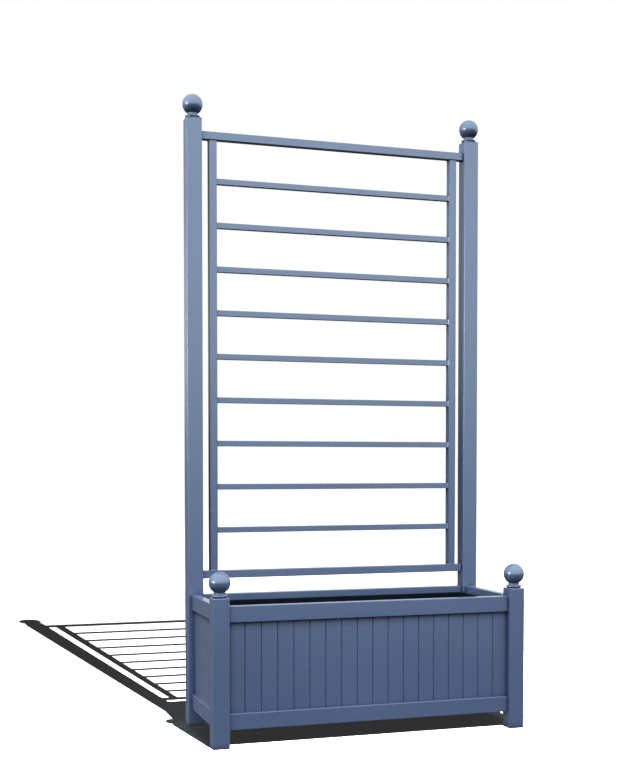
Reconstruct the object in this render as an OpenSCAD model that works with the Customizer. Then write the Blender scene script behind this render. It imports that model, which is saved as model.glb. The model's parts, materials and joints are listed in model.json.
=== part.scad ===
// Rectangular garden planter on four posts, with a barred trellis between the two tall rear posts.
// Origin on the ground under the middle of the box, front towards -Y, +Z up.

/* [Box] */
// Overall width across the corner posts
box_w = 1000; // [700:10:1500]
// Overall depth across the corner posts
box_d = 400; // [320:10:600]
// Height of the rim, the top of the upper rails, above the ground
rim_z = 416; // [320:2:600]
// Clear height under the lower rails
ground_gap = 52; // [20:1:100]

/* [Posts] */
// Side of the square posts
post_s = 50; // [46:1:70]
// Wall of the post tube
post_wall = 2.5; // [1.5:0.5:4]
// Radius of the long edges of a post
post_r = 3; // [2:0.5:5]
// Rise of the front posts above the rim
front_post_rise = 25; // [10:1:80]
// Height of the rear posts above the ground
rear_post_h = 1916; // [1400:2:2200]
// Straight edge of a post cap, below its rounding
cap_edge_h = 1; // [0.5:0.5:3]
// Diameter of the threaded boss under a post cap
cap_boss_d = 22; // [16:1:30]
// Depth of the threaded boss under a post cap
cap_boss_h = 14; // [8:1:25]
// Thickness of the foot plug's head, which stands on the ground
foot_head_h = 1.5; // [1:0.5:4]
// Distance of the foot plug's head from the post's faces
foot_head_inset = 0.5; // [0.5:0.5:1.5]
// Height of the foot plug's stem inside the post
foot_stem_h = 18; // [10:1:30]
// Wall of the foot plug's stem
foot_stem_wall = 3; // [2:0.5:5]

/* [Rails] */
// Height of a box rail
rail_h = 48; // [36:1:60]
// Depth of a box rail, front to back
rail_d = 25; // [20:1:32]
// Wall of the rail tube
rail_wall = 2; // [1.5:0.5:3]
// Radius of the long edges of a rail
rail_r = 1.5; // [1:0.5:3]

/* [Panels] */
// Distance of a panel's face behind the outer faces of its rails
panel_setback = 7.5; // [3:0.5:8]
// Thickness of the panel sheet
panel_t = 1.5; // [1:0.5:2]
// Distance of the flanges' edges from the inner faces of the rails
flange_margin = 2.5; // [1:0.5:4]
// Width of one board of the grooved panels
board_w = 50; // [40:1:90]
// Width of a groove
groove_w = 4; // [2:0.5:8]
// Depth of a groove
groove_depth = 2.5; // [1:0.5:4]

/* [Trellis] */
// Side of the trellis rails and stiles
trellis_s = 25; // [20:1:30]
// Wall of the trellis rails and stiles
trellis_wall = 2; // [1.5:0.5:3]
// Radius of their long edges
trellis_r = 1.5; // [1:0.5:3]
// Distance of the upper trellis rail below the tops of the rear posts
trellis_drop = 38; // [10:1:100]
// Gap between the rim and the lower trellis rail
trellis_gap = 50; // [20:1:120]
// Gap between a rear post and the trellis stile beside it
stile_gap = 25; // [15:1:60]
// Number of rungs
rung_count = 9; // [5:1:12]
// Side of a rung
rung_s = 18; // [10:1:20]
// Wall of a rung
rung_wall = 1.5; // [1:0.5:2]
// Radius of a rung's long edges
rung_r = 1; // [0.5:0.5:2]

/* [Finials] */
// Diameter of the ball
ball_d = 64; // [50:1:90]
// Diameter of the neck under the ball
neck_d = 33; // [24:1:40]
// Height of the neck between the bead and the ball
neck_h = 7.5; // [6:0.5:15]
// Radius of the cove between the neck and the bead
cove_r = 4; // [2:0.5:5]
// Height of the bead round the foot of the neck, which is half round
bead_h = 7; // [4:0.5:10]
// Height of the seat under the bead
seat_h = 2; // [1:0.5:5]
// Distance of the seat's edge inside the bead's
seat_step = 3; // [1:0.5:5]

/* [Base and liner] */
// Number of bearers under the base
bearer_count = 3; // [2:1:5]
// Side of a bearer
bearer_s = 25; // [20:1:30]
// Wall of a bearer
bearer_wall = 2; // [1.5:0.5:3]
// Thickness of the base sheet
base_t = 2; // [1:0.5:4]
// Clearance between the base sheet and the rails round it
base_clear = 0.5; // [0.5:0.5:2]
// Drop of the liner's rim below the rim of the box
liner_drop = 19; // [5:1:60]
// Clearance between the liner's lip and the posts
liner_clear = 4; // [2:1:15]
// Width of the liner's outward lip
lip_w = 6; // [4:1:12]
// Thickness of the liner's lip
lip_t = 4; // [3:0.5:8]
// Wall and floor of the liner
liner_wall = 3; // [2:0.5:5]
// Radius of the liner's upright corners, outside
liner_r = 12; // [8:1:30]
// Clearance under the liner, where it stands on the base
seat_clear = 0.3; // [0.1:0.1:0.5]
// Diameter of the drain holes
drain_d = 12; // [8:1:20]

/* [Fixings] */
// Length of the block that joins a box rail to a post
block_l = 30; // [24:1:40]
// Length of the block that joins a trellis rail to a post
trellis_block_l = 22; // [16:1:24]
// Clearance of a block or a plug inside its tube
slip_clear = 0.2; // [0.1:0.1:0.4]
// Clearance round a screw, rivet or stud in its hole
hole_clear = 0.1; // [0.1:0.05:0.2]
// Diameter of the screws that hold the blocks
screw_d = 5; // [4:0.5:6]
// Diameter of their heads
screw_head_d = 9; // [7:0.5:10]
// Height of their heads
screw_head_h = 3; // [2:0.5:4]
// Size across the flats of their sockets
screw_socket = 3; // [2:0.5:3]
// Length of screw past the wall of the post
screw_past = 8; // [4:1:12]
// Distance between the two screws of a box rail's block
screw_pitch = 20; // [18:1:22]
// Diameter of a rivet
rivet_d = 4; // [3:0.5:4]
// Diameter of a rivet's head
rivet_head_d = 8; // [6:0.5:9]
// Height of a rivet's domed head
rivet_head_h = 1.4; // [1:0.1:2]
// Depth of a rivet in a block
rivet_bite = 5; // [3:0.5:6]
// Diameter of the bulb on the blind end of a panel rivet
bulb_d = 6; // [5:0.5:7]
// Height of that bulb
bulb_h = 3; // [2:0.5:4]
// Greatest distance between the rivets along a panel
rivet_pitch = 150; // [90:10:200]
// Diameter of the stud that holds a finial
stud_d = 10; // [8:1:12]
// Length of that stud inside the finial
stud_up = 24; // [15:1:30]

/* [Hidden] */
$fn = 48;
// How far a cut runs past the surface it opens
overrun = 1;
paint = "#5a6b8e";
steel = "#b8babd";
black = "#1d1f22";

// Places that several pieces share
post_x = (box_w - post_s) / 2;
post_y = (box_d - post_s) / 2;
front_post_h = rim_z + front_post_rise;
cap_t = post_r + cap_edge_h;
top_rail_z = rim_z - rail_h / 2;
low_rail_z = ground_gap + rail_h / 2;
upper_trellis_z = rear_post_h - trellis_drop - trellis_s / 2;
lower_trellis_z = rim_z + trellis_gap + trellis_s / 2;
stile_x = post_x - post_s / 2 - stile_gap - trellis_s / 2;
stile_h = upper_trellis_z - lower_trellis_z - trellis_s;
rung_gap = (stile_h - rung_count * rung_s) / (rung_count + 1);
// Panels, seen from above a side: distances behind the posts' centre line
panel_y = panel_setback - rail_d / 2;
flange_d = rail_d - panel_setback - flange_margin;
panel_rivet_y = panel_y + flange_d / 2;
// Heights in a finial, above its post, and the diameters of its bead and seat
bead_top = seat_h + bead_h;
bead_d = neck_d + 2 * cove_r + bead_h;
seat_d = bead_d - 2 * seat_step;
ball_z = bead_top + neck_h + sqrt(pow(ball_d / 2, 2) - pow(neck_d / 2, 2));
// Steps of a block's screws above and below the middle of its rail
box_screw_steps = [-screw_pitch / 2, screw_pitch / 2];
trellis_screw_steps = [0];
// Room inside the rails, where the base lies
inner_w = 2 * post_x - rail_d;
inner_d = 2 * post_y - rail_d;
bay = inner_w / (bearer_count + 1);
base_z = ground_gap + bearer_s;
liner_z = base_z + base_t + seat_clear;
liner_h = rim_z - liner_drop - liner_z;
lip_x = post_x - post_s / 2 - liner_clear;
lip_y = post_y - post_s / 2 - liner_clear;

// Name of each corner, and its direction from the middle along X and Y
CORNERS = [["front_left", -1, -1], ["front_right", 1, -1], ["rear_left", -1, 1], ["rear_right", 1, 1]];
SIDES = ["front", "right", "rear", "left"];
CORNER_PIECES = ["post_", "post_cap_", "finial_", "foot_plug_"];
SIDE_PIECES = ["top_rail_", "bottom_rail_", "panel_"];

function post_h(c) = c[2] < 0 ? front_post_h : rear_post_h;
// The sides are numbered from the front, turning left as seen from above
function long_side(side) = side % 2 == 0;
function span(side) = (long_side(side) ? box_w : box_d) - 2 * post_s;
function reach(side) = long_side(side) ? post_y : post_x;

// Rounded rectangle, centred
module rounded_rect(w, d, r) {
    square([w - 2 * r, d], center = true);
    square([w, d - 2 * r], center = true);
    for (x = [-1, 1], y = [-1, 1]) translate([x * (w / 2 - r), y * (d / 2 - r)]) circle(r);
}

// Bar with rounded long edges, standing on z = 0
module bar(w, d, l, r) {
    linear_extrude(l) rounded_rect(w, d, r);
}

// Tube with rounded long edges, standing on z = 0
module tube(w, d, l, wall, r) {
    difference() {
        bar(w, d, l, r);
        translate([0, 0, -overrun])
            linear_extrude(l + 2 * overrun) square([w - 2 * wall, d - 2 * wall], center = true);
    }
}

// Turns an upright bar to lie along X, centred, with its first width upright
module along_x(l) {
    translate([-l / 2, 0, 0]) rotate([0, 90, 0]) children();
}

// Turns an upright bar to lie along Y, centred, with its second width upright
module along_y(l) {
    translate([0, -l / 2, 0]) rotate([-90, 0, 0]) children();
}

// Local frame of a side of the box: X along the side, the origin on the posts' centre line, +Y inwards
module on_side(side) {
    rotate([0, 0, 90 * side]) translate([0, -reach(side), 0]) children();
}

// Frame of a corner post, with its inward faces towards +X and +Y
module at_corner(c) {
    translate([c[1] * post_x, c[2] * post_y, 0]) mirror([c[1] > 0 ? 1 : 0, 0, 0])
        mirror([0, c[2] > 0 ? 1 : 0, 0]) children();
}

module screw_hole(l) {
    cylinder(d = screw_d + 2 * hole_clear, h = l, center = true);
}

module rivet_hole(l) {
    cylinder(d = rivet_d + 2 * hole_clear, h = l, center = true);
}

// Holes for a block's screws through the wall of a post, on the post's +X face
module block_holes_x(z, steps) {
    for (p = steps)
        translate([(post_s - post_wall) / 2, 0, z + p])
            rotate([0, 90, 0]) screw_hole(post_wall + 2 * overrun);
}

module post(c) {
    l = post_h(c) - cap_t - foot_head_h;
    color(paint) at_corner(c) difference() {
        translate([0, 0, foot_head_h]) tube(post_s, post_s, l, post_wall, post_r);
        for (z = [top_rail_z, low_rail_z]) {
            block_holes_x(z, box_screw_steps);
            rotate([0, 0, 90]) block_holes_x(z, box_screw_steps);
        }
        if (c[2] > 0)
            for (z = [upper_trellis_z, lower_trellis_z]) block_holes_x(z, trellis_screw_steps);
    }
}

// Square plate with its upper edges and its upright edges rounded alike
module cap_plate() {
    half = post_s / 2 - post_r;
    intersection() {
        translate([-post_s / 2, -post_s / 2, 0]) cube([post_s, post_s, cap_t]);
        translate([0, 0, cap_edge_h]) union() {
            translate([0, 0, -2 * post_r]) bar(post_s, post_s, 2 * post_r, post_r);
            translate([-half, -half, 0]) cube([2 * half, 2 * half, post_r]);
            for (s = [-1, 1]) {
                translate([0, s * half, 0])
                    rotate([0, 90, 0]) cylinder(r = post_r, h = 2 * half, center = true);
                translate([s * half, 0, 0])
                    rotate([90, 0, 0]) cylinder(r = post_r, h = 2 * half, center = true);
                for (t = [-1, 1]) translate([s * half, t * half, 0]) sphere(post_r);
            }
        }
    }
}

module post_cap(c) {
    color(paint) at_corner(c) translate([0, 0, post_h(c) - cap_t]) difference() {
        union() {
            cap_plate();
            translate([0, 0, -cap_boss_h]) cylinder(d = cap_boss_d, h = cap_boss_h + cap_t / 2);
        }
        translate([0, 0, -cap_boss_h - overrun])
            cylinder(d = stud_d + 2 * hole_clear, h = cap_boss_h + cap_t + 2 * overrun);
    }
}

// Ball on a neck that flares into a bead
module finial(c) {
    color(paint) at_corner(c) translate([0, 0, post_h(c)]) difference() {
        union() {
            cylinder(d = seat_d, h = seat_h + bead_h / 2);
            translate([0, 0, seat_h]) cylinder(d = bead_d - bead_h, h = bead_h);
            translate([0, 0, seat_h + bead_h / 2]) rotate_extrude()
                translate([(bead_d - bead_h) / 2, 0]) circle(d = bead_h);
            rotate_extrude() difference() {
                translate([0, bead_top - bead_h / 2]) square([neck_d / 2 + cove_r, bead_h / 2 + cove_r]);
                translate([neck_d / 2 + cove_r, bead_top + cove_r]) circle(cove_r);
            }
            cylinder(d = neck_d, h = ball_z);
            translate([0, 0, ball_z]) sphere(d = ball_d);
        }
        translate([0, 0, -overrun]) cylinder(d = stud_d + 2 * hole_clear, h = stud_up + 2 * overrun);
    }
}

module finial_studs() {
    color(steel) for (c = CORNERS) at_corner(c)
        translate([0, 0, post_h(c) - cap_t - cap_boss_h])
            cylinder(d = stud_d, h = cap_boss_h + cap_t + stud_up);
}

module foot_plug(c) {
    head = post_s - 2 * foot_head_inset;
    stem = post_s - 2 * post_wall - 2 * slip_clear;
    color(black) at_corner(c) {
        bar(head, head, foot_head_h, post_r - foot_head_inset);
        translate([0, 0, foot_head_h / 2]) linear_extrude(foot_head_h / 2 + foot_stem_h) difference() {
            square(stem, center = true);
            square(stem - 2 * foot_stem_wall, center = true);
        }
    }
}

// Places along a side of the rivets that hold the panel's flanges to the rails
function panel_rivet_xs(side) =
    let (n = ceil(span(side) / rivet_pitch), step = span(side) / n)
    [for (i = [0 : n - 1]) (i + 1 / 2) * step - span(side) / 2];

// panel_dir is -1 on an upper rail, whose panel is below it, and 1 on a lower rail
module box_rail(side, z, panel_dir) {
    l = span(side);
    color(paint) on_side(side) translate([0, 0, z]) difference() {
        along_x(l) tube(rail_h, rail_d, l, rail_wall, rail_r);
        for (s = [-1, 1])
            translate([s * (l - block_l) / 2, (rail_d - rail_wall) / 2, 0])
                rotate([90, 0, 0]) rivet_hole(rail_wall + 2 * overrun);
        for (x = panel_rivet_xs(side))
            translate([x, panel_rivet_y, panel_dir * (rail_h - rail_wall) / 2])
                rivet_hole(rail_wall + 2 * overrun);
    }
}

// Front edge of a sheet, seen from above: straight, with a V for each groove
function face_line(side, grooved) =
    let (l = span(side), n = grooved ? round(l / board_w) : 1)
    concat(
        [[-l / 2, 0]],
        [for (i = [1 : 1 : n - 1], k = [-1, 0, 1])
            [i * l / n - l / 2 + k * groove_w / 2, k == 0 ? groove_depth : 0]],
        [[l / 2, 0]]
    );

module panel(side) {
    grooved = long_side(side);
    l = span(side);
    z = low_rail_z + rail_h / 2;
    h = top_rail_z - rail_h / 2 - z;
    face = face_line(side, grooved);
    last = len(face) - 1;
    back = [for (i = [last : -1 : 0]) face[i] + [0, panel_t]];
    color(paint) on_side(side) translate([0, panel_y, z]) difference() {
        union() {
            linear_extrude(h) polygon(concat(face, back));
            for (v = [0, h - panel_t])
                translate([0, 0, v]) linear_extrude(panel_t)
                    polygon(concat(face, [[l / 2, flange_d], [-l / 2, flange_d]]));
            for (x = [-l / 2, l / 2 - panel_t]) translate([x, 0, 0]) cube([panel_t, flange_d, h]);
        }
        for (x = panel_rivet_xs(side), v = [panel_t / 2, h - panel_t / 2])
            translate([x, flange_d / 2, v]) rivet_hole(panel_t + 2 * overrun);
    }
}

// Blocks that a rail slides over, screwed to the face of the post
module joint_block(w, h, l, steps) {
    difference() {
        along_x(l) bar(h, w, l, rail_r);
        for (p = steps) translate([0, 0, p]) rotate([0, 90, 0]) screw_hole(l + 2 * overrun);
        translate([0, (w - rivet_bite) / 2, 0]) rotate([90, 0, 0]) rivet_hole(rivet_bite + 2 * overrun);
    }
}

// Round-headed screw with a hexagon socket, its head towards +X and its shank towards -X from 0
module screw(l) {
    rotate([0, 90, 0]) difference() {
        union() {
            translate([0, 0, -l]) cylinder(d = screw_d, h = l);
            cylinder(d = screw_head_d, h = screw_head_h);
        }
        translate([0, 0, screw_head_h / 3])
            cylinder(d = 2 * screw_socket / sqrt(3), h = screw_head_h, $fn = 6);
    }
}

// Rivet along Z: its domed head below 0, its shank above
module rivet(l) {
    dome_r = (pow(rivet_head_d / 2, 2) + pow(rivet_head_h, 2)) / (2 * rivet_head_h);
    cylinder(d = rivet_d, h = l);
    intersection() {
        translate([0, 0, dome_r - rivet_head_h]) sphere(dome_r);
        translate([0, 0, -rivet_head_h]) cylinder(d = rivet_head_d, h = rivet_head_h);
    }
}

// Both ends of a box rail: the children stand beside the left post, facing its +X side
module at_rail_ends(side) {
    for (s = [0, 1]) on_side(side) mirror([s, 0, 0]) translate([-span(side) / 2, 0, 0]) children();
}

module rail_blocks() {
    h = rail_h - 2 * rail_wall - 2 * slip_clear;
    w = rail_d - 2 * rail_wall - 2 * slip_clear;
    color(steel) for (side = [0 : 3], z = [top_rail_z, low_rail_z])
        at_rail_ends(side) translate([block_l / 2, 0, z]) joint_block(w, h, block_l, box_screw_steps);
}

module block_screws() {
    color(steel) for (side = [0 : 3], z = [top_rail_z, low_rail_z], p = box_screw_steps)
        at_rail_ends(side) translate([block_l, 0, z + p]) screw(block_l + post_wall + screw_past);
}

module rail_rivets() {
    color(paint) for (side = [0 : 3], z = [top_rail_z, low_rail_z])
        at_rail_ends(side) translate([block_l / 2, rail_d / 2, z]) rotate([90, 0, 0])
            rivet(rail_wall + slip_clear + rivet_bite);
}

// Blind rivet: it grips the flange and the rail, and its bulb is inside the rail
module panel_rivet() {
    grip = panel_t + rail_wall;
    rivet(grip + bulb_h);
    translate([0, 0, grip]) cylinder(d = bulb_d, h = bulb_h);
}

module panel_rivets() {
    upper = top_rail_z - rail_h / 2 - panel_t;
    lower = low_rail_z + rail_h / 2 + panel_t;
    color(paint) for (side = [0 : 3], x = panel_rivet_xs(side)) on_side(side) {
        translate([x, panel_rivet_y, upper]) panel_rivet();
        translate([x, panel_rivet_y, lower]) mirror([0, 0, 1]) panel_rivet();
    }
}

module base_bearer(i) {
    color(paint) translate([i * bay - inner_w / 2, 0, ground_gap + bearer_s / 2])
        along_y(inner_d) tube(bearer_s, bearer_s, inner_d, bearer_wall, rail_r);
}

// Drain holes in the middle of each bay between the bearers, for each row one
module drain_holes(z, t, rows) {
    for (i = [0 : bearer_count], row = rows)
        translate([(i + 1 / 2) * bay - inner_w / 2, row * inner_d / 4, z - overrun])
            cylinder(d = drain_d, h = t + 2 * overrun);
}

module base_sheet() {
    w = inner_w - 2 * base_clear;
    d = inner_d - 2 * base_clear;
    // The corners are cut back to clear the posts and the rivets beside them
    corner_x = post_x - post_s / 2 - block_l;
    corner_y = post_y - post_s / 2 - block_l;
    color(paint) difference() {
        translate([0, 0, base_z]) linear_extrude(base_t) union() {
            square([w, 2 * corner_y], center = true);
            square([2 * corner_x, d], center = true);
        }
        drain_holes(base_z, base_t, [-1, 1]);
    }
}

// Planting trough that stands on the base and lifts out
module liner() {
    w = 2 * (lip_x - lip_w);
    d = 2 * (lip_y - lip_w);
    color(black) difference() {
        translate([0, 0, liner_z]) union() {
            bar(w, d, liner_h, liner_r);
            translate([0, 0, liner_h - lip_t]) bar(2 * lip_x, 2 * lip_y, lip_t, liner_r + lip_w);
        }
        translate([0, 0, liner_z + liner_wall])
            bar(w - 2 * liner_wall, d - 2 * liner_wall, liner_h, liner_r - liner_wall);
        // One row, out of line with the holes of the sheet: water runs off and the compost stays in
        drain_holes(liner_z, liner_wall, [0]);
    }
}

module trellis_rail(z) {
    l = span(0);
    color(paint) translate([0, post_y, z]) difference() {
        along_x(l) tube(trellis_s, trellis_s, l, trellis_wall, trellis_r);
        for (s = [-1, 1])
            translate([s * (l - trellis_block_l) / 2, (trellis_s - trellis_wall) / 2, 0])
                rotate([90, 0, 0]) rivet_hole(trellis_wall + 2 * overrun);
    }
}

module trellis_stile(s) {
    color(paint) translate([s * stile_x, post_y, lower_trellis_z + trellis_s / 2])
        tube(trellis_s, trellis_s, stile_h, trellis_wall, trellis_r);
}

// The rungs are counted from the top
module trellis_rung(i) {
    l = 2 * stile_x - trellis_s;
    z = upper_trellis_z - trellis_s / 2 - i * (rung_gap + rung_s) + rung_s / 2;
    color(paint) translate([0, post_y, z]) along_x(l) tube(rung_s, rung_s, l, rung_wall, rung_r);
}

// Both ends of a trellis rail: the children stand beside the left post, facing its +X side
module at_trellis_ends(z) {
    for (s = [0, 1]) mirror([s, 0, 0]) translate([-span(0) / 2, post_y, z]) children();
}

module trellis_blocks() {
    s = trellis_s - 2 * trellis_wall - 2 * slip_clear;
    color(steel) for (z = [upper_trellis_z, lower_trellis_z])
        at_trellis_ends(z) translate([trellis_block_l / 2, 0, 0])
            joint_block(s, s, trellis_block_l, trellis_screw_steps);
}

module trellis_screws() {
    color(steel) for (z = [upper_trellis_z, lower_trellis_z])
        at_trellis_ends(z) translate([trellis_block_l, 0, 0])
            screw(trellis_block_l + post_wall + screw_past);
}

module trellis_rivets() {
    color(paint) for (z = [upper_trellis_z, lower_trellis_z])
        at_trellis_ends(z) translate([trellis_block_l / 2, trellis_s / 2, 0]) rotate([90, 0, 0])
            rivet(trellis_wall + slip_clear + rivet_bite);
}

for (c = CORNERS) {
    post(c);
    post_cap(c);
    finial(c);
    foot_plug(c);
}
for (i = [0 : 3]) {
    box_rail(i, top_rail_z, -1);
    box_rail(i, low_rail_z, 1);
    panel(i);
}
finial_studs();
rail_blocks();
block_screws();
rail_rivets();
panel_rivets();
for (i = [1 : bearer_count]) base_bearer(i);
base_sheet();
liner();
trellis_rail(upper_trellis_z);  // trellis_top_rail
trellis_rail(lower_trellis_z);  // trellis_bottom_rail
trellis_stile(-1);  // trellis_stile_left
trellis_stile(1);  // trellis_stile_right
for (i = [1 : rung_count]) trellis_rung(i);
trellis_blocks();
trellis_screws();
trellis_rivets();
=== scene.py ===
import json
import math

import bmesh
import bpy
from mathutils import Matrix, Vector

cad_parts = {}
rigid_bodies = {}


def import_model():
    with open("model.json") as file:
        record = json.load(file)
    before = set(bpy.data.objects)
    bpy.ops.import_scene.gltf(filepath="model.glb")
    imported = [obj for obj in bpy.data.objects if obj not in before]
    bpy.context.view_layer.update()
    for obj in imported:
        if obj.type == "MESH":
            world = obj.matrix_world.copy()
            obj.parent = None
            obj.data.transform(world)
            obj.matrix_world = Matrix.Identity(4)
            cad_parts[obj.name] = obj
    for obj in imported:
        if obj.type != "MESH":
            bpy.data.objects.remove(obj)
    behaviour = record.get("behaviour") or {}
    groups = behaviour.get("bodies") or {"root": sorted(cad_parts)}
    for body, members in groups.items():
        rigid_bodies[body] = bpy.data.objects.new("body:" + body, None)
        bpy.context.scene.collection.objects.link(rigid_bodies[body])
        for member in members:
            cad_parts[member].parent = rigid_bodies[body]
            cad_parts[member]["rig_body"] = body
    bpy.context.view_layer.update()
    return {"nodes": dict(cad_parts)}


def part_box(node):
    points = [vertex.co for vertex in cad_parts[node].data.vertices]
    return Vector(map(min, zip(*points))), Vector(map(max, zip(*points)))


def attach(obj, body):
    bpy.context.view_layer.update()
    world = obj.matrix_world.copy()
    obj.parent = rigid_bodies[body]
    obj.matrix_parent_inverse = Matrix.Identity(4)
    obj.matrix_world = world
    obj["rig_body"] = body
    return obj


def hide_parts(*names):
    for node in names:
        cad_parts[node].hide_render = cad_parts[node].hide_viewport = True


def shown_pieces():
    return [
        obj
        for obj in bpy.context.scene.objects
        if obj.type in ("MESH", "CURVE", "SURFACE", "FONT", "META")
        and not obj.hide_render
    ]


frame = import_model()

MM = 0.001
X, Y, Z = 0, 1, 2
CORNERS = ("front_left", "front_right", "rear_left", "rear_right")
SIDES = ("front", "right", "rear", "left")
# Round a rectangle: the signs of each corner, and the angle at which its arc starts
QUARTERS = ((1, 1, 0), (-1, 1, 90), (-1, -1, 180), (1, -1, 270))
# Two directions count as the same from this cosine up
SAME_DIRECTION = 0.99

# Tubes: their rounded long edges and eased ends
POST_RADIUS = 3 * MM
RAIL_RADIUS = 1.5 * MM
RUNG_RADIUS = 1 * MM
POST_END_RADIUS = 0.15 * MM
RAIL_END_RADIUS = 0.4 * MM
ROUND_STEPS = 5
EASE_STEPS = 2
# The corners of a post cap get no sharper than this
CAP_LEAST_RADIUS = 0.05 * MM
# Section of the weld round a tube's end, in mm: out from the tube, and back from the face it meets
WELD_SECTION = ((-0.5, 2.0), (0.0, 1.9), (0.68, 0.84), (1.9, 0.0), (2.0, -0.5))
WELD_CORNER_STEPS = 4

# Finials, from the seat up
SEAT_HEIGHT = 2 * MM
SEAT_STEP = 3 * MM
SEAT_FOOT_EASE = 0.3 * MM
SEAT_TOP_EASE = 0.2 * MM
BEAD_HEIGHT = 7 * MM
COVE_RADIUS = 4 * MM
NECK_RADIUS = 16.5 * MM
NECK_FILLET = 1.2 * MM
BALL_RADIUS = 32 * MM
BEAD_FOOT_DEG = -80
BALL_TOP_DEG = 89
BEAD_STEPS = 14
COVE_STEPS = 8
FILLET_STEPS = 5
BALL_STEPS = 44
LATHE_STEPS = 72

# Panels
SHEET = 1.5 * MM
BOARD = 50 * MM
FLANGE_EASE = 0.25 * MM
# Half a groove between two boards, in mm: distance from its middle, and depth
HALF_GROOVE = ((2.5, 0.0), (1.9, 0.175), (1.5, 0.625), (0.15, 2.35))

# Liner
LINER_RADIUS = 12 * MM
LINER_LEAST_RADIUS = 3 * MM
LINER_WALL = 3 * MM
LINER_FOOT_RADIUS = 2 * MM
LIP_WIDTH = 6 * MM
LIP_HEIGHT = 4 * MM
LIP_CHAMFER = 1 * MM
# The lip's inner edge: how far its rounding runs each way, and how far its middle lies in each way
LIP_INNER_EDGE = 1.5 * MM
LIP_INNER_MIDDLE = 0.4 * MM
LINER_CORNER_STEPS = 8
LINER_ROLL_STEPS = 8
LINER_FOOT_STEPS = 4

# Shader nodes: the noise's turn in radians, and the rays per sample for edges and for the painted shade
NOISE_TURN = (0.5, 0.8, 0.3)
EDGE_SAMPLES = 4
PAINTED_SHADE_SAMPLES = 8

# Colours, linear
WHITE = (1.0, 1.0, 1.0, 1.0)
PAINT = (0.102, 0.151, 0.292)
PANEL_PAINT = (0.100, 0.148, 0.286)
PAINT_IOR = 2.85
PAINT_SHEEN = (0.66, 0.82, 0.96, 1.0)
LINER_BLACK = (0.0025, 0.0057, 0.0102)
PLUG_BLACK = (0.012, 0.012, 0.013)
PLASTIC_SPECULAR = 0.12
ZINC = (0.42, 0.43, 0.44)
FLOOR_DARK = (0.55, 0.55, 0.55, 1.0)
FLOOR_PALE = (0.57, 0.57, 0.57, 1.0)

# Painted shade in corners: how far round it looks, and its tone by the share of the view that is open
PAINTED_SHADE_REACH = 25 * MM
PAINTED_SHADE_IN_CORNERS = ((0.2, 0.12), (0.45, 0.42), (0.7, 0.7), (0.8, 0.86), (0.9, 1.0))
# The same painted shade in the gaps beside the stiles, where the posts shade them
GAP_PAINTED_SHADE_REACH = 120 * MM
PAINTED_SHADE_IN_GAPS = ((0.3, 0.02), (0.55, 0.08), (0.75, 0.6), (0.8, 0.86), (0.9, 1.0))
# Painted shadow under a rail: how far down it goes, and its tone by the share of that
PAINTED_SHADOW_DEPTH = 33 * MM
PAINTED_SHADOW_BELOW_RAIL = (
    (0.0, 0.3), (0.15, 0.4), (0.2, 0.5), (0.3, 0.62),
    (0.4, 0.76), (0.5, 0.84), (0.8, 0.95), (1.0, 1.0),
)
# By how far a face looks up: tops keep little of the painted shade, and undersides get a darker painted
# shade
TOP_SPAN = (0.6, 0.95)
TOP_UNSHADED_SHARE = 0.8
UNDERSIDE_SPAN = (-0.3, -0.9)
UNDERSIDE_SHADE_TONE = 0.12

# The photograph's camera, solved from the straight edges in it
PHOTO_WIDTH_PX = 640
PHOTO_HEIGHT_PX = 783
FOCAL_PX = 1221.0
PRINCIPAL_COLUMN_PX = 319.94
PRINCIPAL_ROW_PX = 507.3
CAMERA_PLACE = (-1.29178, -3.63893, 0.82745)
CAMERA_TURN_DEG = 17.984
CAMERA_DIP_DEG = 1.982
SENSOR_MM = 36

# What the paint mirrors, by the height of a unit direction, from -SKY_SPAN to SKY_SPAN
SKY_SPAN = 0.5
SKY_AHEAD = ((-0.13, 0.017), (-0.02, 0.38), (0.11, 0.78), (0.22, 0.81), (0.4, 0.95))
SKY_BEHIND = ((-0.12, 0.12), (0.0, 0.15), (0.08, 0.75), (0.14, 0.75), (0.2, 0.35), (0.4, 0.35))
SKY_BEHIND_RIGHT = ((-0.12, 0.12), (0.0, 0.15), (0.08, 1.0), (0.14, 1.0), (0.2, 0.8), (0.4, 0.4))
SKY_BEHIND_LEFT = ((-0.12, 0.18), (-0.04, 0.02), (0.03, 0.02), (0.12, 0.3), (0.3, 0.5))
SKY_GAIN = (1.2, 1.2, 1.15, 1.0)
# Where one part of that sky turns into the next, by a unit direction's Y or X
BEHIND_SPAN_Y = (0.3, 0.9)
RIGHT_SPAN_X = (-0.05, 0.1)
LEFT_SPAN_X = (-0.28, -0.38)
# The world hardly lights matt surfaces, which the suns and the soft boxes light
WORLD_FILL = 0.01

# The sky's soft light on the object, from suns in rings: elevation, count, width of each, strength
SKY_RINGS = (
    (90, 1, 50, 0.4),
    (52, 8, 50, 0.75),
    (16, 8, 24, 0.5),
)
# Share of that strength round a ring of eight
SKY_SIDES = (0.7, 0.5, 0.2, 0.2, 0.9, 1.1, 1.0, 1.0)
# Soft boxes that light the object alone. A mirrored one only shows in reflections.
SOFTBOXES = (
    {"name": "left_box", "place": (-3.0, 0.2, 3.0), "target": (-0.5, 0.0, 1.0), "width": 1.2,
     "height": 1.2, "radiance": 18.8, "colour": (1.0, 0.92, 0.77), "mirrored": False},
    {"name": "left_strip", "place": (-29.7, -6.5, 4.7), "target": (0.0, 0.0, 1.2), "width": 12.5,
     "height": 5.8, "radiance": 8.0, "colour": (1.0, 0.97, 0.9), "mirrored": True},
)

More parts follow.
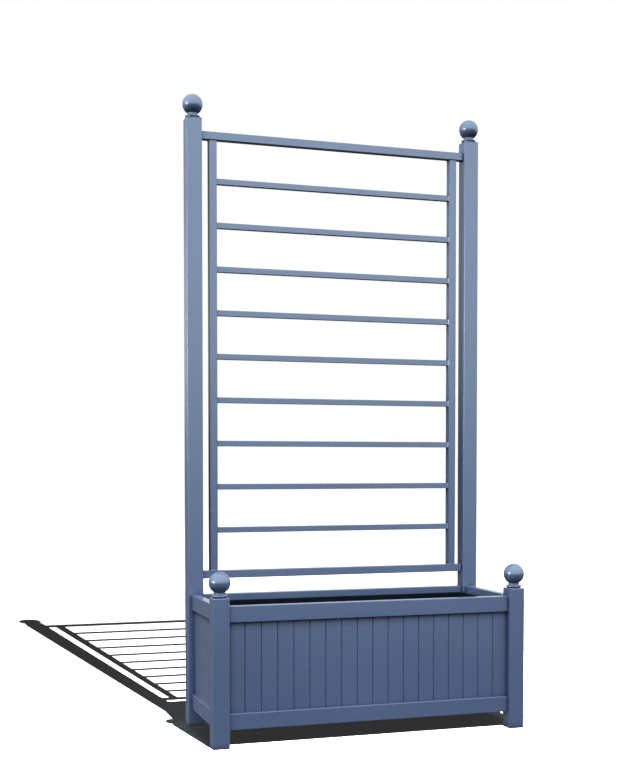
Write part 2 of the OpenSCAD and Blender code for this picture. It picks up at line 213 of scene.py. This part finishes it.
# Floor. It glows with the shadow's tone within SHADOW_REACH, and white from SHADOW_FADE times that on.
FLOOR_REACH = 60.0
SHADOW_TONE = 0.028
SHADOW_REACH = 3.7
SHADOW_FADE = 1.3
FLOOR_LAMP_WATTS = 12000
FLOOR_LAMP_RADIUS = 3 * MM
FLOOR_LAMP_PLACE = (-0.07, -3.7, 4.7)


# Nodes

class Graph:
    """A tree of shader nodes. Most methods add a node and return its output."""

    def __init__(self, tree):
        self.nodes = tree.nodes
        self.links = tree.links

    def feed(self, socket, value):
        """Links a socket to an output, or sets it to a plain value."""
        if isinstance(value, bpy.types.NodeSocket):
            self.links.new(value, socket)
        else:
            socket.default_value = value

    def read(self, kind, output):
        """An output of a new node that needs no inputs."""
        return self.nodes.new(kind).outputs[output]

    def split(self, vector):
        """The outputs X, Y and Z of a vector."""
        splitter = self.nodes.new("ShaderNodeSeparateXYZ")
        self.feed(splitter.inputs["Vector"], vector)
        return splitter.outputs

    def maths(self, operation, *values):
        """The result of an operation on numbers."""
        node = self.nodes.new("ShaderNodeMath")
        node.operation = operation
        for socket, value in zip(node.inputs, values):
            self.feed(socket, value)
        return node.outputs["Value"]

    def vector_maths(self, operation, *vectors):
        """The number that an operation on vectors gives."""
        node = self.nodes.new("ShaderNodeVectorMath")
        node.operation = operation
        for socket, vector in zip(node.inputs, vectors):
            self.feed(socket, vector)
        return node.outputs["Value"]

    def mapped(self, value, span, results=(0.0, 1.0)):
        """Takes value from the span to the results, and holds it at their ends beyond the span."""
        ranger = self.nodes.new("ShaderNodeMapRange")
        self.feed(ranger.inputs["Value"], value)
        for socket, number in zip(("From Min", "From Max", "To Min", "To Max"), (*span, *results)):
            self.feed(ranger.inputs[socket], number)
        return ranger.outputs["Result"]

    def stepped(self, value, stops):
        """A grey that depends on value, between stops of (value from 0 to 1, grey)."""
        blend = self.nodes.new("ShaderNodeValToRGB")
        elements = blend.color_ramp.elements
        while len(elements) < len(stops):
            elements.new(0.5)
        for element, (place, grey) in zip(elements, stops):
            element.position = place
            element.color = (grey, grey, grey, 1.0)
        self.feed(blend.inputs["Fac"], value)
        return blend.outputs["Color"]

    def mixed(self, factor, first, second, blend_type="MIX"):
        """A colour from first at factor 0 to second at factor 1."""
        mixer = self.nodes.new("ShaderNodeMix")
        mixer.data_type = "RGBA"
        mixer.blend_type = blend_type
        self.feed(mixer.inputs["Factor"], factor)
        self.feed(mixer.inputs["A"], first)
        self.feed(mixer.inputs["B"], second)
        return mixer.outputs["Result"]

    def times(self, first, second):
        """The product of two colours."""
        return self.mixed(1.0, first, second, "MULTIPLY")

    def object_coords(self):
        """Places on the object, turned so that no face lies along the noise's own grid."""
        turn = self.nodes.new("ShaderNodeMapping")
        self.feed(turn.inputs["Rotation"], NOISE_TURN)
        self.feed(turn.inputs["Vector"], self.read("ShaderNodeTexCoord", "Object"))
        return turn.outputs["Vector"]

    def noise(self, coords, scale, detail=2.0, roughness=0.5):
        """A noise with so many features to the metre."""
        texture = self.nodes.new("ShaderNodeTexNoise")
        self.feed(texture.inputs["Scale"], scale)
        self.feed(texture.inputs["Detail"], detail)
        self.feed(texture.inputs["Roughness"], roughness)
        self.feed(texture.inputs["Vector"], coords)
        return texture.outputs["Fac"]

    def bump(self, shader, height, distance, strength):
        """Feeds a height to the shader's normal."""
        bump = self.nodes.new("ShaderNodeBump")
        self.feed(bump.inputs["Distance"], distance)
        self.feed(bump.inputs["Strength"], strength)
        self.feed(bump.inputs["Height"], height)
        self.feed(shader.inputs["Normal"], bump.outputs["Normal"])


# Materials

def new_material(name):
    """A node material, the graph of its nodes, and its shader."""
    material = bpy.data.materials.new(name)
    material.use_nodes = True
    tree = material.node_tree
    return material, Graph(tree), tree.nodes["Principled BSDF"]


def shade(colour, factor):
    """The colour made lighter or darker, with alpha."""
    return tuple(min(1.0, c * factor) for c in colour) + (1.0,)


def edge_mask(graph, width, share):
    """share on a convex edge and 0 off it, read from how the rounded normal leaves the true one."""
    bevel = graph.nodes.new("ShaderNodeBevel")
    bevel.samples = EDGE_SAMPLES
    graph.feed(bevel.inputs["Radius"], width)
    normal = graph.read("ShaderNodeNewGeometry", "Normal")
    likeness = graph.vector_maths("DOT_PRODUCT", bevel.outputs["Normal"], normal)
    return graph.mapped(likeness, span=(0.995, 0.9), results=(0.0, share))


def painted_corner_shade(graph, reach, stops):
    """A grey that is white in the open and dark in the corners, where it paints in shade."""
    corner = graph.nodes.new("ShaderNodeAmbientOcclusion")
    corner.samples = PAINTED_SHADE_SAMPLES
    graph.feed(corner.inputs["Distance"], reach)
    return graph.stepped(corner.outputs["AO"], stops)


def painted_shade_by_facing(graph, painted_shade):
    """The painted shade, mostly left off tops, and with more painted shade on undersides."""
    upward = graph.split(graph.read("ShaderNodeNewGeometry", "Normal"))["Z"]
    tops_unshaded = graph.mapped(upward, TOP_SPAN, (0.0, TOP_UNSHADED_SHARE))
    underside_shade = graph.mapped(upward, UNDERSIDE_SPAN, (1.0, UNDERSIDE_SHADE_TONE))
    return graph.times(graph.mixed(tops_unshaded, painted_shade, WHITE), underside_shade)


def painted_shadow_under_rail(graph, rail_under):
    """A grey that is dark in a band of painted shadow under a rail, whose underside is at rail_under."""
    height = graph.split(graph.read("ShaderNodeTexCoord", "Object"))["Z"]
    depth = graph.mapped(height, (rail_under, rail_under - PAINTED_SHADOW_DEPTH))
    return graph.stepped(depth, PAINTED_SHADOW_BELOW_RAIL)


def coat_tone_and_edge_highlight(graph, colour, cloud, speck):
    """The paint's colour: slightly cloudy, with fine specks, and lighter on convex edges as a painted
    highlight.
    """
    clouds = graph.mapped(cloud, span=(0.3, 0.7))
    specks = graph.mapped(speck, span=(0.62, 0.8), results=(0.0, 0.35))
    # Lighter convex edges: a painted highlight.
    edges = edge_mask(graph, width=1.2 * MM, share=0.3)
    tone = graph.mixed(clouds, shade(colour, 0.95), shade(colour, 1.05))
    tone = graph.mixed(specks, tone, shade(colour, 1.6))
    return graph.mixed(edges, tone, shade(colour, 1.5))


def powder_coat(name, colour, rail_under=None, reach=PAINTED_SHADE_REACH, stops=PAINTED_SHADE_IN_CORNERS):
    """Satin powder coat with orange peel, with painted shade in corners and on undersides, and a painted
    shadow under a rail where rail_under is given.
    """
    material, graph, shader = new_material(name)
    coords = graph.object_coords()
    cloud = graph.noise(coords, scale=3.0, detail=4.0)
    speck = graph.noise(coords, scale=1400.0, detail=1.0)
    peel = graph.noise(coords, scale=330.0)
    tone = coat_tone_and_edge_highlight(graph, colour, cloud, speck)
    painted_shade = painted_shade_by_facing(graph, painted_corner_shade(graph, reach, stops))
    if rail_under:
        painted_shade = graph.times(painted_shade, painted_shadow_under_rail(graph, rail_under))
    graph.feed(shader.inputs["Base Color"], graph.times(tone, painted_shade))
    # The painted shade dims the reflections as well.
    graph.feed(shader.inputs["Specular Tint"], graph.times(painted_shade, PAINT_SHEEN))
    graph.feed(shader.inputs["Roughness"], graph.mapped(cloud, span=(0.3, 0.7), results=(0.2, 0.24)))
    graph.feed(shader.inputs["IOR"], PAINT_IOR)
    # The peel plus a share of the specks
    height = graph.maths("MULTIPLY_ADD", speck, 0.15, peel)
    graph.bump(shader, height, distance=0.35 * MM, strength=0.04)
    return material


def moulded_plastic(name, colour):
    """Black moulding with a fine grain and dusty patches."""
    material, graph, shader = new_material(name)
    coords = graph.object_coords()
    dust = graph.noise(coords, scale=9.0, detail=5.0, roughness=0.6)
    grain = graph.noise(coords, scale=1100.0, detail=3.0, roughness=0.6)
    dusty = graph.mapped(dust, span=(0.45, 0.8), results=(0.0, 0.6))
    graph.feed(shader.inputs["Base Color"], graph.mixed(dusty, shade(colour, 0.9), shade(colour, 1.6)))
    graph.feed(shader.inputs["Roughness"], graph.mapped(dust, span=(0.3, 0.8), results=(0.55, 0.75)))
    graph.feed(shader.inputs["Specular IOR Level"], PLASTIC_SPECULAR)
    graph.bump(shader, grain, distance=0.3 * MM, strength=0.15)
    return material


def zinc_plate(name):
    """Zinc-plated steel with a cloudy passivated sheen."""
    material, graph, shader = new_material(name)
    coords = graph.object_coords()
    cloud = graph.noise(coords, scale=160.0, detail=4.0)
    grain = graph.noise(coords, scale=900.0)
    graph.feed(shader.inputs["Base Color"], graph.mixed(cloud, shade(ZINC, 0.8), shade(ZINC, 1.15)))
    graph.feed(shader.inputs["Roughness"], graph.mapped(cloud, span=(0.2, 0.8), results=(0.25, 0.5)))
    graph.feed(shader.inputs["Metallic"], 1.0)
    graph.bump(shader, grain, distance=0.2 * MM, strength=0.1)
    return material


def pale_floor():
    """Pale matt floor, which also glows for the camera: faintly round the object, and white beyond."""
    material, graph, shader = new_material("pale_floor")
    coords = graph.object_coords()
    tone = graph.noise(coords, scale=1.5, detail=3.0)
    distance = graph.vector_maths("LENGTH", coords)
    glow = graph.mapped(distance, (SHADOW_REACH, SHADOW_FADE * SHADOW_REACH), (SHADOW_TONE, 1.0))
    seen = graph.read("ShaderNodeLightPath", "Is Camera Ray")
    graph.feed(shader.inputs["Base Color"], graph.mixed(tone, FLOOR_DARK, FLOOR_PALE))
    graph.feed(shader.inputs["Roughness"], 1.0)
    graph.feed(shader.inputs["Specular IOR Level"], 0.0)
    graph.feed(shader.inputs["Emission Color"], WHITE)
    graph.feed(shader.inputs["Emission Strength"], graph.maths("MULTIPLY", glow, seen))
    return material


# Meshes

def piece(node, suffix, bm, material):
    """Makes the piece that stands for a CAD node, from a mesh in the row frame."""
    mesh = bpy.data.meshes.new(f"{node}_{suffix}")
    bm.to_mesh(mesh)
    bm.free()
    mesh.polygons.foreach_set("use_smooth", [True] * len(mesh.polygons))
    mesh.materials.append(material)
    made = bpy.data.objects.new(mesh.name, mesh)
    bpy.context.scene.collection.objects.link(made)
    flatten = made.modifiers.new("flat_faces_stay_flat", "WEIGHTED_NORMAL")
    flatten.keep_sharp = True
    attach(made, frame["nodes"][node]["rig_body"])
    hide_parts(node)


def arc(centre, radius, start_deg, end_deg, steps):
    """Points of an arc in a plane."""
    angles = [math.radians(start_deg + (end_deg - start_deg) * i / steps) for i in range(steps + 1)]
    return [(centre[0] + radius * math.cos(a), centre[1] + radius * math.sin(a)) for a in angles]


def rounded_rectangle(half_x, half_y, radius, steps):
    """Points round a rectangle with rounded corners, with so many steps to the corner."""
    points = []
    for sx, sy, start in QUARTERS:
        centre = (sx * (half_x - radius), sy * (half_y - radius))
        points += arc(centre, radius, start, start + 90, steps)
    return points


def level_ring(bm, centre, half_x, half_y, radius, steps):
    """Adds vertices round a level rectangle with rounded corners."""
    points = rounded_rectangle(half_x, half_y, radius, steps)
    return [bm.verts.new(centre + Vector((u, v, 0.0))) for u, v in points]


def add_skin(bm, rings, closed):
    """Adds the faces from each ring of vertices to the next and, if closed, over both ends."""
    for low, high in zip(rings, rings[1:]):
        for i in range(len(low)):
            j = (i + 1) % len(low)
            bm.faces.new((low[i], low[j], high[j], high[i]))
    if closed:
        bm.faces.new(rings[0][::-1])
        bm.faces.new(rings[-1])


def add_lathe(bm, centre, profile):
    """Adds the surface that a profile of (radius, height) sweeps round the vertical through centre."""
    angles = [2 * math.pi * i / LATHE_STEPS for i in range(LATHE_STEPS)]
    rings = []
    for radius, height in profile:
        places = [Vector((radius * math.cos(a), radius * math.sin(a), height)) for a in angles]
        rings.append([bm.verts.new(centre + place) for place in places])
    add_skin(bm, rings, closed=True)


def add_block(bm, low, high):
    """Adds a block between two corners. Returns its edges."""
    new = bmesh.ops.create_cube(bm, size=1)["verts"]
    bmesh.ops.scale(bm, vec=high - low, verts=new)
    bmesh.ops.translate(bm, vec=(low + high) / 2, verts=new)
    return {edge for vertex in new for edge in vertex.link_edges}


def add_rounding(bm, edges, radius, steps):
    """Rounds edges. Returns the new vertices."""
    rounded = bmesh.ops.bevel(
        bm, geom=list(edges), offset=radius, segments=steps, profile=0.5, affect="EDGES"
    )
    return rounded["verts"]


def along(edge, axis):
    """Whether an edge runs along an axis."""
    step = edge.verts[1].co - edge.verts[0].co
    return abs(step[axis]) > SAME_DIRECTION * step.length


def across(axis):
    """The two axes across an axis."""
    return [other for other in (X, Y, Z) if other != axis]


def add_bar(bm, low, high, axis, radius, end_radius):
    """Adds a bar with rounded long edges, and with eased ends if end_radius isn't 0."""
    edges = add_block(bm, low, high)
    vertices = add_rounding(bm, [e for e in edges if along(e, axis)], radius, ROUND_STEPS)
    if end_radius:
        faces = {f for v in vertices for f in v.link_faces}
        ends = [f for f in faces if abs(f.normal[axis]) > SAME_DIRECTION]
        add_rounding(bm, {e for f in ends for e in f.edges}, end_radius, EASE_STEPS)


def add_weld(bm, centre, half_w, half_d, axis, towards, radius):
    """Adds a fillet weld round the end of a tube, against the face that it meets.

    The tube lies along axis, and the face is at centre, on the side that towards gives: 1 or -1."""
    first, second = across(axis)
    outline = rounded_rectangle(half_w, half_d, radius, WELD_CORNER_STEPS)
    outward = rounded_rectangle(1.0, 1.0, 1.0, WELD_CORNER_STEPS)
    rings = []
    for out, back in WELD_SECTION:
        ring = []
        for (u, v), (outward_u, outward_v) in zip(outline, outward):
            place = Vector(centre)
            place[first] += u + out * MM * outward_u
            place[second] += v + out * MM * outward_v
            place[axis] -= towards * back * MM
            ring.append(bm.verts.new(place))
        rings.append(ring)
    add_skin(bm, rings, closed=False)


# Posts, caps and finials

def make_post(corner, material):
    """Square tube with rounded long edges."""
    node = f"post_{corner}"
    low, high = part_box(node)
    bm = bmesh.new()
    add_bar(bm, low, high, Z, POST_RADIUS, POST_END_RADIUS)
    piece(node, "painted", bm, material)


def make_cap(corner, material):
    """Cap welded into the post and ground flush: its rounding runs on from the post's edges."""
    node = f"post_cap_{corner}"
    low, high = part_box(node)
    post_low, post_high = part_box(f"post_{corner}")
    half = (post_high.x - post_low.x) / 2
    centre = Vector(((low.x + high.x) / 2, (low.y + high.y) / 2, post_high.z))
    edge = high.z - post_high.z - POST_RADIUS
    # (distance in from the post's faces, height above the post)
    section = [(0.0, 0.0), (0.0, edge)]
    section += [(POST_RADIUS - r, edge + h) for r, h in arc((0, 0), POST_RADIUS, 0, 90, ROUND_STEPS)[1:]]
    bm = bmesh.new()
    rings = []
    for inset, height in section:
        place = centre + Vector((0.0, 0.0, height))
        radius = max(POST_RADIUS - inset, CAP_LEAST_RADIUS)
        rings.append(level_ring(bm, place, half - inset, half - inset, radius, ROUND_STEPS))
    add_skin(bm, rings, closed=True)
    piece(node, "painted", bm, material)


def finial_profile(height):
    """(radius, height) up a finial: stepped seat, bead, cove, small fillet and ball."""
    bead_radius = BEAD_HEIGHT / 2
    bead_ring = NECK_RADIUS + COVE_RADIUS
    cove_z = SEAT_HEIGHT + BEAD_HEIGHT + COVE_RADIUS
    seat = bead_ring + bead_radius - SEAT_STEP
    ball_z = height - BALL_RADIUS
    # The fillet touches both the neck and the ball, which it meets at meet_deg round the ball
    fillet_ring = NECK_RADIUS + NECK_FILLET
    fillet_z = ball_z - math.sqrt((BALL_RADIUS + NECK_FILLET) ** 2 - fillet_ring ** 2)
    meet_deg = math.degrees(math.atan2(fillet_z - ball_z, fillet_ring))
    profile = [(seat - SEAT_FOOT_EASE, 0.0), (seat, SEAT_FOOT_EASE), (seat, SEAT_HEIGHT - SEAT_TOP_EASE)]
    profile += arc((bead_ring, SEAT_HEIGHT + bead_radius), bead_radius, BEAD_FOOT_DEG, 90, BEAD_STEPS)
    profile += arc((bead_ring, cove_z), COVE_RADIUS, 270, 180, COVE_STEPS)[1:]
    profile += arc((fillet_ring, fillet_z), NECK_FILLET, 180, 180 + meet_deg, FILLET_STEPS)
    profile += arc((0.0, ball_z), BALL_RADIUS, meet_deg, BALL_TOP_DEG, BALL_STEPS)[1:]
    return profile


def make_finial(corner, material):
    """Cast ball on a neck that flares into a bead, over a stepped seat."""
    node = f"finial_{corner}"
    low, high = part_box(node)
    base = Vector(((low.x + high.x) / 2, (low.y + high.y) / 2, low.z))
    bm = bmesh.new()
    add_lathe(bm, base, finial_profile(high.z - low.z))
    piece(node, "painted", bm, material)


# Rails, stiles, rungs and bearers

def make_bar(node, axis, radius, end_radius, material, weld_ends=()):
    """Tube between two pieces, with a weld round each end that is named by its side, 1 or -1."""
    low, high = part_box(node)
    bm = bmesh.new()
    add_bar(bm, low, high, axis, radius, end_radius)
    first, second = across(axis)
    for towards in weld_ends:
        centre = (low + high) / 2
        centre[axis] = high[axis] if towards > 0 else low[axis]
        half_w = (high[first] - low[first]) / 2
        half_d = (high[second] - low[second]) / 2
        add_weld(bm, centre, half_w, half_d, axis, towards, radius)
    piece(node, "painted", bm, material)


def make_rail(node, axis, material):
    """Rail that meets its posts without a weld."""
    make_bar(node, axis, RAIL_RADIUS, RAIL_END_RADIUS, material)


def make_welded(node, axis, radius, material):
    """Tube that is welded at both ends."""
    make_bar(node, axis, radius, 0, material, (-1, 1))


# Panels

def board_line(length, boards):
    """A panel's front face seen from above, in (along, depth), with a groove between two boards."""
    line = [(-length / 2, 0.0)]
    for number in range(1, boards):
        middle = number * length / boards - length / 2
        line += [(middle - aside * MM, depth * MM) for aside, depth in HALF_GROOVE]
        line += [(middle + aside * MM, depth * MM) for aside, depth in HALF_GROOVE[::-1]]
    return line + [(length / 2, 0.0)]


def add_sheet(bm, place, line, height):
    """Adds a grooved sheet, whose front face seen from above is line."""
    back = [(u, v + SHEET) for u, v in line]
    columns = [[bm.verts.new(place(u, v, w)) for w in (0.0, height)] for u, v in line + back[::-1]]
    for i, column in enumerate(columns):
        follow = columns[(i + 1) % len(columns)]
        bm.faces.new((column[0], follow[0], follow[1], column[1]))
    for i in range(len(line) - 1):
        j = len(columns) - 1 - i
        around = (columns[i], columns[i + 1], columns[j - 1], columns[j])
        bm.faces.new([bottom for bottom, top in around[::-1]])
        bm.faces.new([top for bottom, top in around])


def add_flange(bm, corner, opposite):
    """Adds a flange with slightly eased edges between two opposite corners."""
    low = Vector([min(pair) for pair in zip(corner, opposite)])
    high = Vector([max(pair) for pair in zip(corner, opposite)])
    add_rounding(bm, add_block(bm, low, high), FLANGE_EASE, EASE_STEPS)


def make_panel(side, boards, material):
    """Pressed sheet with a flange along each edge. The boards are pressed in as grooves."""
    node = f"panel_{side}"
    low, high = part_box(node)
    centre = (low + high) / 2
    turn = Matrix.Rotation(math.radians(90 * SIDES.index(side)), 3, "Z")
    length, depth, height = [abs(extent) for extent in turn.transposed() @ (high - low)]

    def place(u, v, w):
        """The point u along the panel from its middle, v back from its front face and w up."""
        return centre + turn @ Vector((u, v - depth / 2, w - height / 2))

    bm = bmesh.new()
    add_sheet(bm, place, board_line(length, boards), height)
    for w in (0.0, height - SHEET):
        add_flange(bm, place(-length / 2, SHEET, w), place(length / 2, depth, w + SHEET))
    for u in (-length / 2, length / 2 - SHEET):
        add_flange(bm, place(u, SHEET, SHEET), place(u + SHEET, depth, height - SHEET))
    piece(node, "painted", bm, material)


# Liner

def liner_section(height):
    """(distance in from the lip's edge, height), from the outer foot over the lip to the floor inside."""
    inside = LIP_WIDTH + LINER_WALL
    roll = LIP_HEIGHT / 2
    foot = (-LINER_FOOT_RADIUS, LINER_FOOT_RADIUS)
    outer_foot = arc(foot, LINER_FOOT_RADIUS, -90, 0, LINER_FOOT_STEPS)
    lip = arc((0, 0), roll, -90, 90, LINER_ROLL_STEPS)
    inner_foot = arc(foot, LINER_FOOT_RADIUS, 0, -90, LINER_FOOT_STEPS)
    section = [(LIP_WIDTH - u, v) for u, v in outer_foot]
    section.append((LIP_WIDTH, height - LIP_HEIGHT - LIP_CHAMFER))
    section.append((LIP_WIDTH - LIP_CHAMFER, height - LIP_HEIGHT))
    section += [(roll - u, height - roll + v) for u, v in lip]
    section.append((inside - LIP_INNER_EDGE, height))
    section.append((inside - LIP_INNER_MIDDLE, height - LIP_INNER_MIDDLE))
    section.append((inside, height - LIP_INNER_EDGE))
    section += [(inside - u, LINER_WALL + v) for u, v in inner_foot]
    return section


def make_liner(material):
    """Moulded trough with a rolled lip and an eased foot."""
    low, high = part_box("liner")
    centre = (low + high) / 2
    half_x, half_y = (high.x - low.x) / 2, (high.y - low.y) / 2
    bm = bmesh.new()
    rings = []
    for inset, rise in liner_section(high.z - low.z):
        place = Vector((centre.x, centre.y, low.z + rise))
        radius = max(LINER_RADIUS + LIP_WIDTH - inset, LINER_LEAST_RADIUS)
        rings.append(level_ring(bm, place, half_x - inset, half_y - inset, radius, LINER_CORNER_STEPS))
    add_skin(bm, rings, closed=True)
    bmesh.ops.recalc_face_normals(bm, faces=bm.faces)
    piece("liner", "moulded", bm, material)


# The object

def numbered(prefix):
    """The CAD nodes prefix1, prefix2 and so on."""
    count = sum(name.startswith(prefix) for name in frame["nodes"])
    return [f"{prefix}{number}" for number in range(1, 1 + count)]


def make_box(frame_paint, panel_paint):
    """The rails and panels of the box."""
    for number, side in enumerate(SIDES):
        axis = (X, Y)[number % 2]
        for level in ("top", "bottom"):
            make_rail(f"{level}_rail_{side}", axis, frame_paint)
        low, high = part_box(f"panel_{side}")
        boards = round((high.x - low.x) / BOARD) if axis == X else 1
        make_panel(side, boards, panel_paint)


def make_trellis(frame_paint, stile_paint):
    """The rails, stiles and rungs of the trellis."""
    for level in ("top", "bottom"):
        make_rail(f"trellis_{level}_rail", X, frame_paint)
    for side in ("left", "right"):
        make_welded(f"trellis_stile_{side}", Z, RAIL_RADIUS, stile_paint)
    for node in numbered("trellis_rung_"):
        make_welded(node, X, RUNG_RADIUS, frame_paint)


def dress_kept(names, material):
    """Gives a material to CAD nodes whose own meshes are shown."""
    for name in names:
        mesh = frame["nodes"][name].data
        mesh.materials.clear()
        mesh.materials.append(material)


def make_planter():
    """The whole object."""
    frame_paint = powder_coat("frame_paint", PAINT)
    # The stiles get a darker painted shade in the gaps beside the posts.
    stile_paint = powder_coat("stile_paint", PAINT, None, GAP_PAINTED_SHADE_REACH, PAINTED_SHADE_IN_GAPS)
    # The panels get a painted shadow under the top rail.
    panel_paint = powder_coat("panel_paint", PANEL_PAINT, rail_under=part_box("panel_front")[1].z)
    for corner in CORNERS:
        make_post(corner, frame_paint)
        make_cap(corner, frame_paint)
        make_finial(corner, frame_paint)
    make_box(frame_paint, panel_paint)
    make_trellis(frame_paint, stile_paint)
    for node in numbered("base_bearer_"):
        make_welded(node, Y, RAIL_RADIUS, frame_paint)
    make_liner(moulded_plastic("liner_black", LINER_BLACK))
    fixings = ("finial_studs", "rail_blocks", "block_screws", "trellis_blocks", "trellis_screws")
    dress_kept(fixings, zinc_plate("zinc"))
    dress_kept([f"foot_plug_{corner}" for corner in CORNERS], moulded_plastic("plug_black", PLUG_BLACK))
    dress_kept(["rail_rivets", "panel_rivets", "trellis_rivets"], frame_paint)
    dress_kept(["base_sheet"], panel_paint)


# Camera and surroundings

def make_camera():
    """The photograph's viewing angle."""
    lens = bpy.data.cameras.new("camera")
    lens.sensor_width = SENSOR_MM
    lens.lens = FOCAL_PX * SENSOR_MM / PHOTO_HEIGHT_PX
    lens.shift_x = (PHOTO_WIDTH_PX / 2 - PRINCIPAL_COLUMN_PX) / PHOTO_HEIGHT_PX
    lens.shift_y = (PRINCIPAL_ROW_PX - PHOTO_HEIGHT_PX / 2) / PHOTO_HEIGHT_PX
    camera = bpy.data.objects.new("camera", lens)
    camera.location = CAMERA_PLACE
    camera.rotation_euler = (math.radians(90 - CAMERA_DIP_DEG), 0, math.radians(-CAMERA_TURN_DEG))
    bpy.context.scene.collection.objects.link(camera)
    bpy.context.scene.camera = camera


def mirrored_sky(graph):
    """The sky that reflections show: light over dark ground, and dimmer behind the object."""
    direction = graph.split(graph.read("ShaderNodeTexCoord", "Generated"))
    rise = graph.mapped(direction["Z"], (-SKY_SPAN, SKY_SPAN))

    def by_height(stops):
        """A grey by the height of the direction."""
        return graph.stepped(rise, [(SKY_SPAN + height, grey) for height, grey in stops])

    behind = by_height(SKY_BEHIND)
    to_right = graph.mapped(direction["X"], RIGHT_SPAN_X)
    behind = graph.mixed(to_right, behind, by_height(SKY_BEHIND_RIGHT))
    to_left = graph.mapped(direction["X"], LEFT_SPAN_X)
    behind = graph.mixed(to_left, behind, by_height(SKY_BEHIND_LEFT))
    sky = graph.mixed(graph.mapped(direction["Y"], BEHIND_SPAN_Y), by_height(SKY_AHEAD), behind)
    return graph.times(sky, SKY_GAIN)


def make_world():
    """White backdrop for the camera, and the mirrored sky for reflections."""
    world = bpy.data.worlds.new("studio")
    world.use_nodes = True
    graph = Graph(world.node_tree)
    background = graph.nodes["Background"]
    path = graph.nodes.new("ShaderNodeLightPath").outputs
    colour = graph.mixed(path["Is Camera Ray"], mirrored_sky(graph), WHITE)
    shown = graph.maths("MAXIMUM", path["Is Camera Ray"], path["Is Glossy Ray"])
    shown = graph.maths("MAXIMUM", shown, path["Is Transmission Ray"])
    graph.feed(background.inputs["Color"], colour)
    graph.feed(background.inputs["Strength"], graph.mapped(shown, (0.0, 1.0), (WORLD_FILL, 1.0)))
    bpy.context.scene.world = world


def make_floor():
    """Plain pale floor."""
    bm = bmesh.new()
    bmesh.ops.create_grid(bm, x_segments=1, y_segments=1, size=FLOOR_REACH)
    mesh = bpy.data.meshes.new("floor")
    bm.to_mesh(mesh)
    bm.free()
    mesh.materials.append(pale_floor())
    floor = bpy.data.objects.new("floor", mesh)
    bpy.context.scene.collection.objects.link(floor)
    # Undersides mirror the dark ground of the world, as in the photograph
    floor.visible_glossy = False
    floor.visible_diffuse = False
    return floor


# Lights

def grouped(name, members):
    """A collection for light linking."""
    group = bpy.data.collections.new(name)
    for member in members:
        group.objects.link(member)
    return group


def add_light(light, receivers):
    """Puts a light into the scene, which lights the receivers alone and shows in no reflection."""
    lamp = bpy.data.objects.new(light.name, light)
    lamp.visible_glossy = False
    lamp.light_linking.receiver_collection = receivers
    bpy.context.scene.collection.objects.link(lamp)
    return lamp


def aimed(direction):
    """The turn that points a light along a direction."""
    return Vector(direction).to_track_quat("-Z", "Y").to_euler()


def make_sky_sun(name, elevation_deg, azimuth_deg, width_deg, strength, receivers):
    """One of the suns that stand for the sky: soft parallel light from a part of it."""
    light = bpy.data.lights.new(name, "SUN")
    light.energy = strength
    light.angle = math.radians(width_deg)
    elevation, azimuth = math.radians(elevation_deg), math.radians(azimuth_deg)
    level = math.cos(elevation)
    travel = (-level * math.cos(azimuth), -level * math.sin(azimuth), -math.sin(elevation))
    add_light(light, receivers).rotation_euler = aimed(travel)


def make_sky_light(receivers):
    """The sky's soft light, from rings of suns."""
    for elevation, count, width, strength in SKY_RINGS:
        for number in range(count):
            name = f"sky_{elevation}_{number}"
            azimuth = 360 * (number + 0.5) / count
            side = SKY_SIDES[number] if count > 1 else 1.0
            make_sky_sun(name, elevation, azimuth, width, side * strength, receivers)


def make_softbox(receivers, name, place, target, width, height, radiance, colour, mirrored):
    """Area lamp at a place, aimed at a target."""
    light = bpy.data.lights.new(name, "AREA")
    light.shape = "RECTANGLE"
    light.size = width
    light.size_y = height
    light.energy = radiance * math.pi * width * height
    light.color = colour
    lamp = add_light(light, receivers)
    lamp.location = place
    lamp.rotation_euler = aimed(Vector(target) - Vector(place))
    lamp.visible_camera = False
    lamp.visible_glossy = mirrored
    lamp.visible_diffuse = not mirrored


def make_floor_lamp(receivers):
    """Small lamp in front of the object, which gives the shadow on the floor its sharp edge."""
    light = bpy.data.lights.new("floor_lamp", "POINT")
    light.energy = FLOOR_LAMP_WATTS
    light.shadow_soft_size = FLOOR_LAMP_RADIUS
    lamp = add_light(light, receivers)
    lamp.location = FLOOR_LAMP_PLACE
    lamp.visible_camera = False


make_planter()
make_camera()
make_world()
object_group = grouped("planter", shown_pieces())
floor_group = grouped("ground", [make_floor()])
make_floor_lamp(floor_group)
make_sky_light(object_group)
for softbox in SOFTBOXES:
    make_softbox(object_group, **softbox)
bpy.context.scene.view_settings.view_transform = "Standard"
